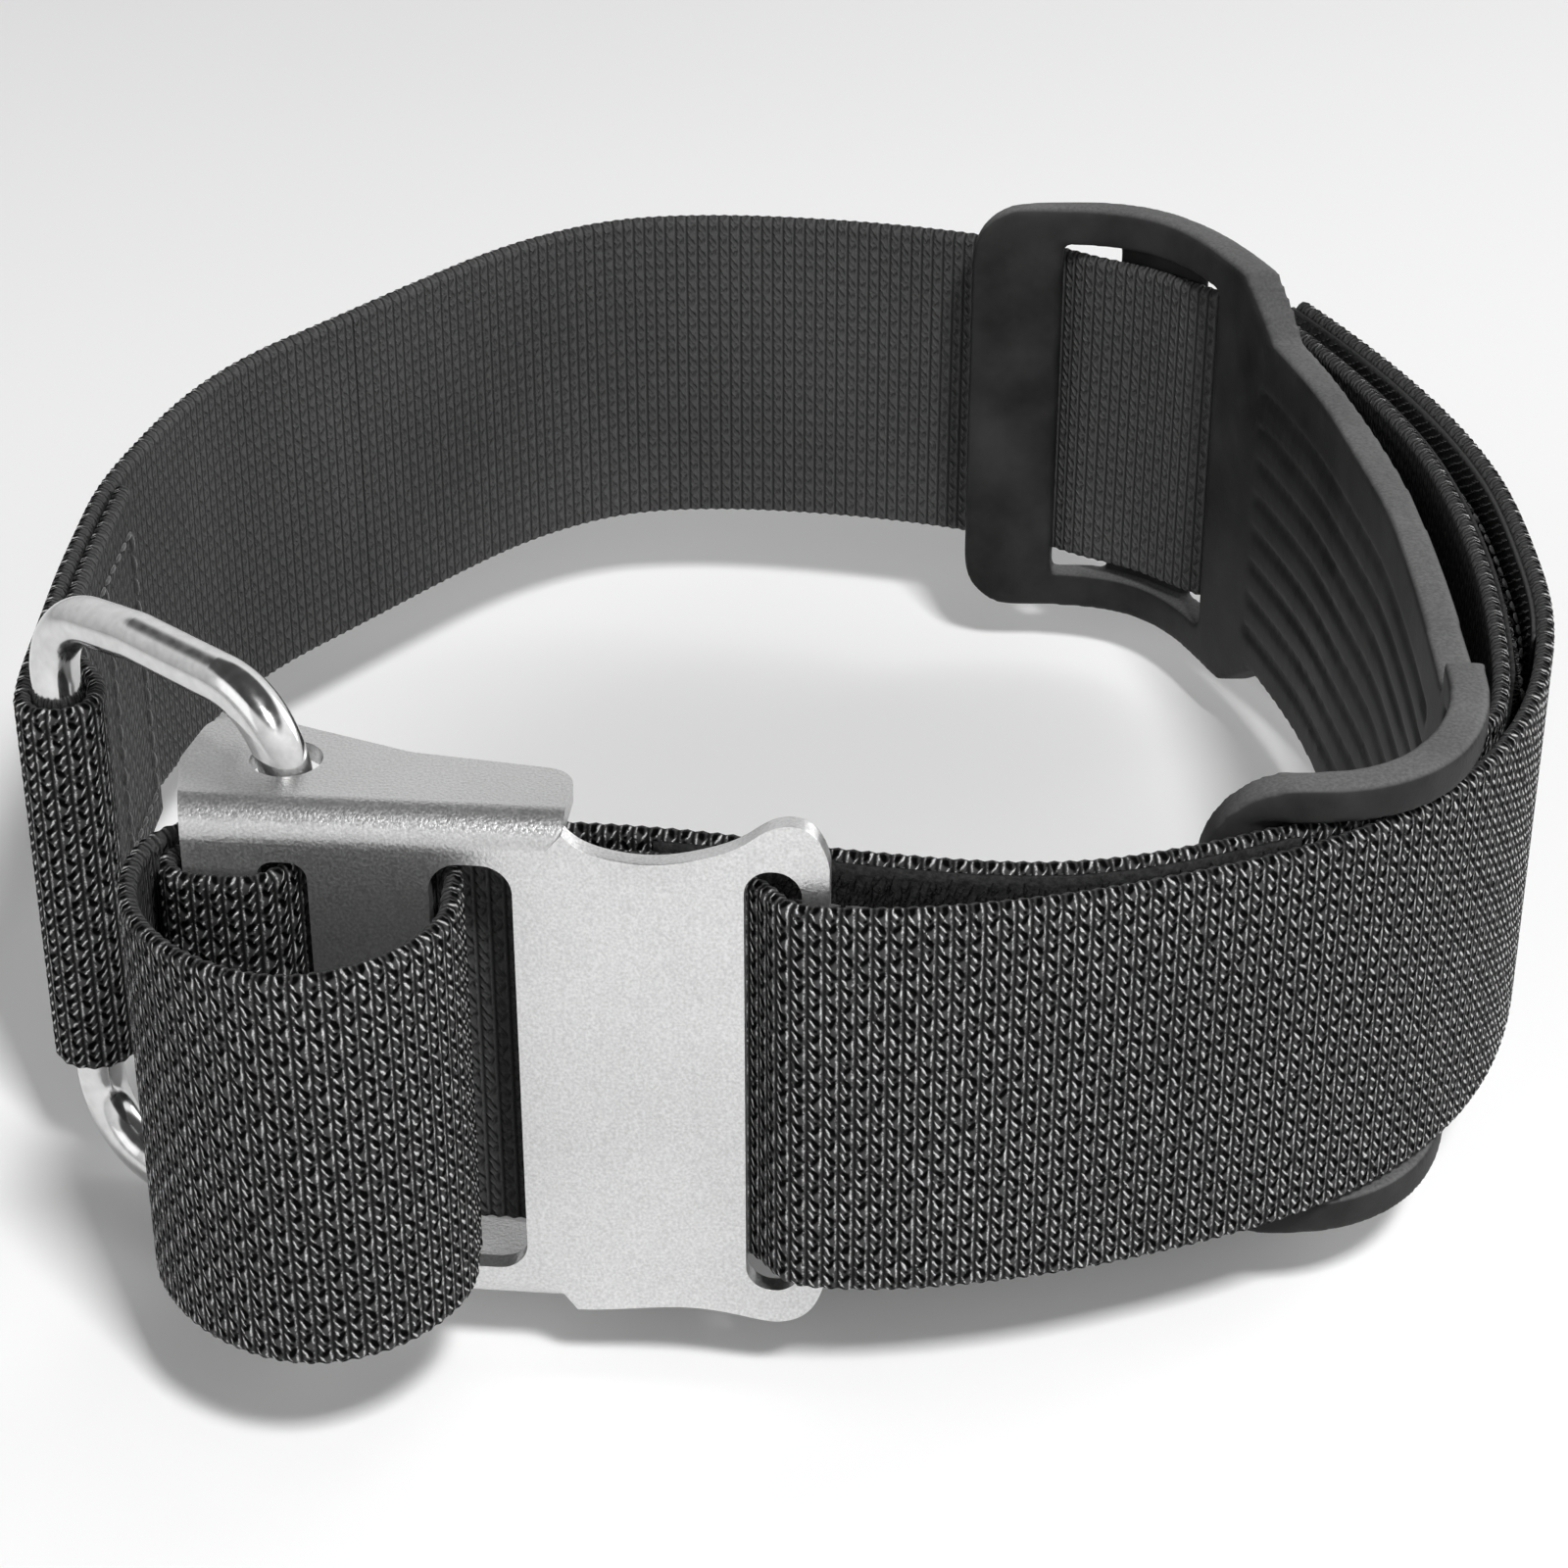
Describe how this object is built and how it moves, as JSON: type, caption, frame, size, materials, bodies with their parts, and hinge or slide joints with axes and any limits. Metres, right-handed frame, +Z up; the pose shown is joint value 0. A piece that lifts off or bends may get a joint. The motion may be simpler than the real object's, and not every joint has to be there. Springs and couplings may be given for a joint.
{
  "type": "scuba cylinder cam band",
  "caption": "Webbing cam band that clamps a diving cylinder: strap threaded through a slotted over-centre lever, a wire bail, a rubber anti-slip pad and a hook-and-loop tail.",
  "frame": {"origin": "middle of the outline in plan, level with the lowest point (the underside of the bail's lower arm)", "axes": "+Z up along the webbing's width, the axis of the cylinder it clamps; +Y from the lever at the front towards the back of the ring; +X towards the anti-slip pad and the tail"},
  "size_m": [0.1854, 0.2166, 0.082],
  "materials": {
    "webbing": "woven nylon, slight sheen",
    "loop_tape": "soft pile, matt",
    "hook_tape": "fine hooks, matt",
    "thread": "twisted thread",
    "pad_rubber": "satin moulded",
    "lever_steel": "bead-blasted stainless",
    "bail_steel": "polished stainless wire"
  },
  "bodies": {
    "band": {"webbing_back": "webbing", "webbing_sewn_end": "webbing", "webbing_back_weave": "webbing", "webbing_side": "webbing", "webbing_front_weave": "webbing", "webbing_front": "webbing", "loop_tape_side": "loop_tape", "loop_tape_front": "loop_tape", "loop_tape_stitching": "thread", "sewn_end_stitching": "thread", "anti_slip_pad": "pad_rubber"},
    "bail": {"wire_bail": "bail_steel"},
    "lever": {"cam_lever": "lever_steel", "webbing_slack_loop": "webbing", "webbing_buckle_weave": "webbing"},
    "tail": {"webbing_tail": "webbing", "hook_tape": "hook_tape", "hook_tape_stitching": "thread"}
  },
  "joints": [
    {"name": "bail_swing", "type": "hinge", "parent": "band", "child": "bail", "pos_m": [-0.08658, -0.04676, 0.041], "axis": [0, 0, 1], "range_deg": [-20, 0]},
    {"name": "lever_turn", "type": "hinge", "parent": "bail", "child": "lever", "pos_m": [-0.05608, -0.07476, 0.041], "axis": [0, 0, 1], "range_deg": [-95, 0]},
    {"name": "tail_peel", "type": "hinge", "parent": "lever", "child": "tail", "pos_m": [-0.00338, -0.09016, 0.041], "axis": [0, 0, 1], "range_deg": [-60, 0]}
  ]
}
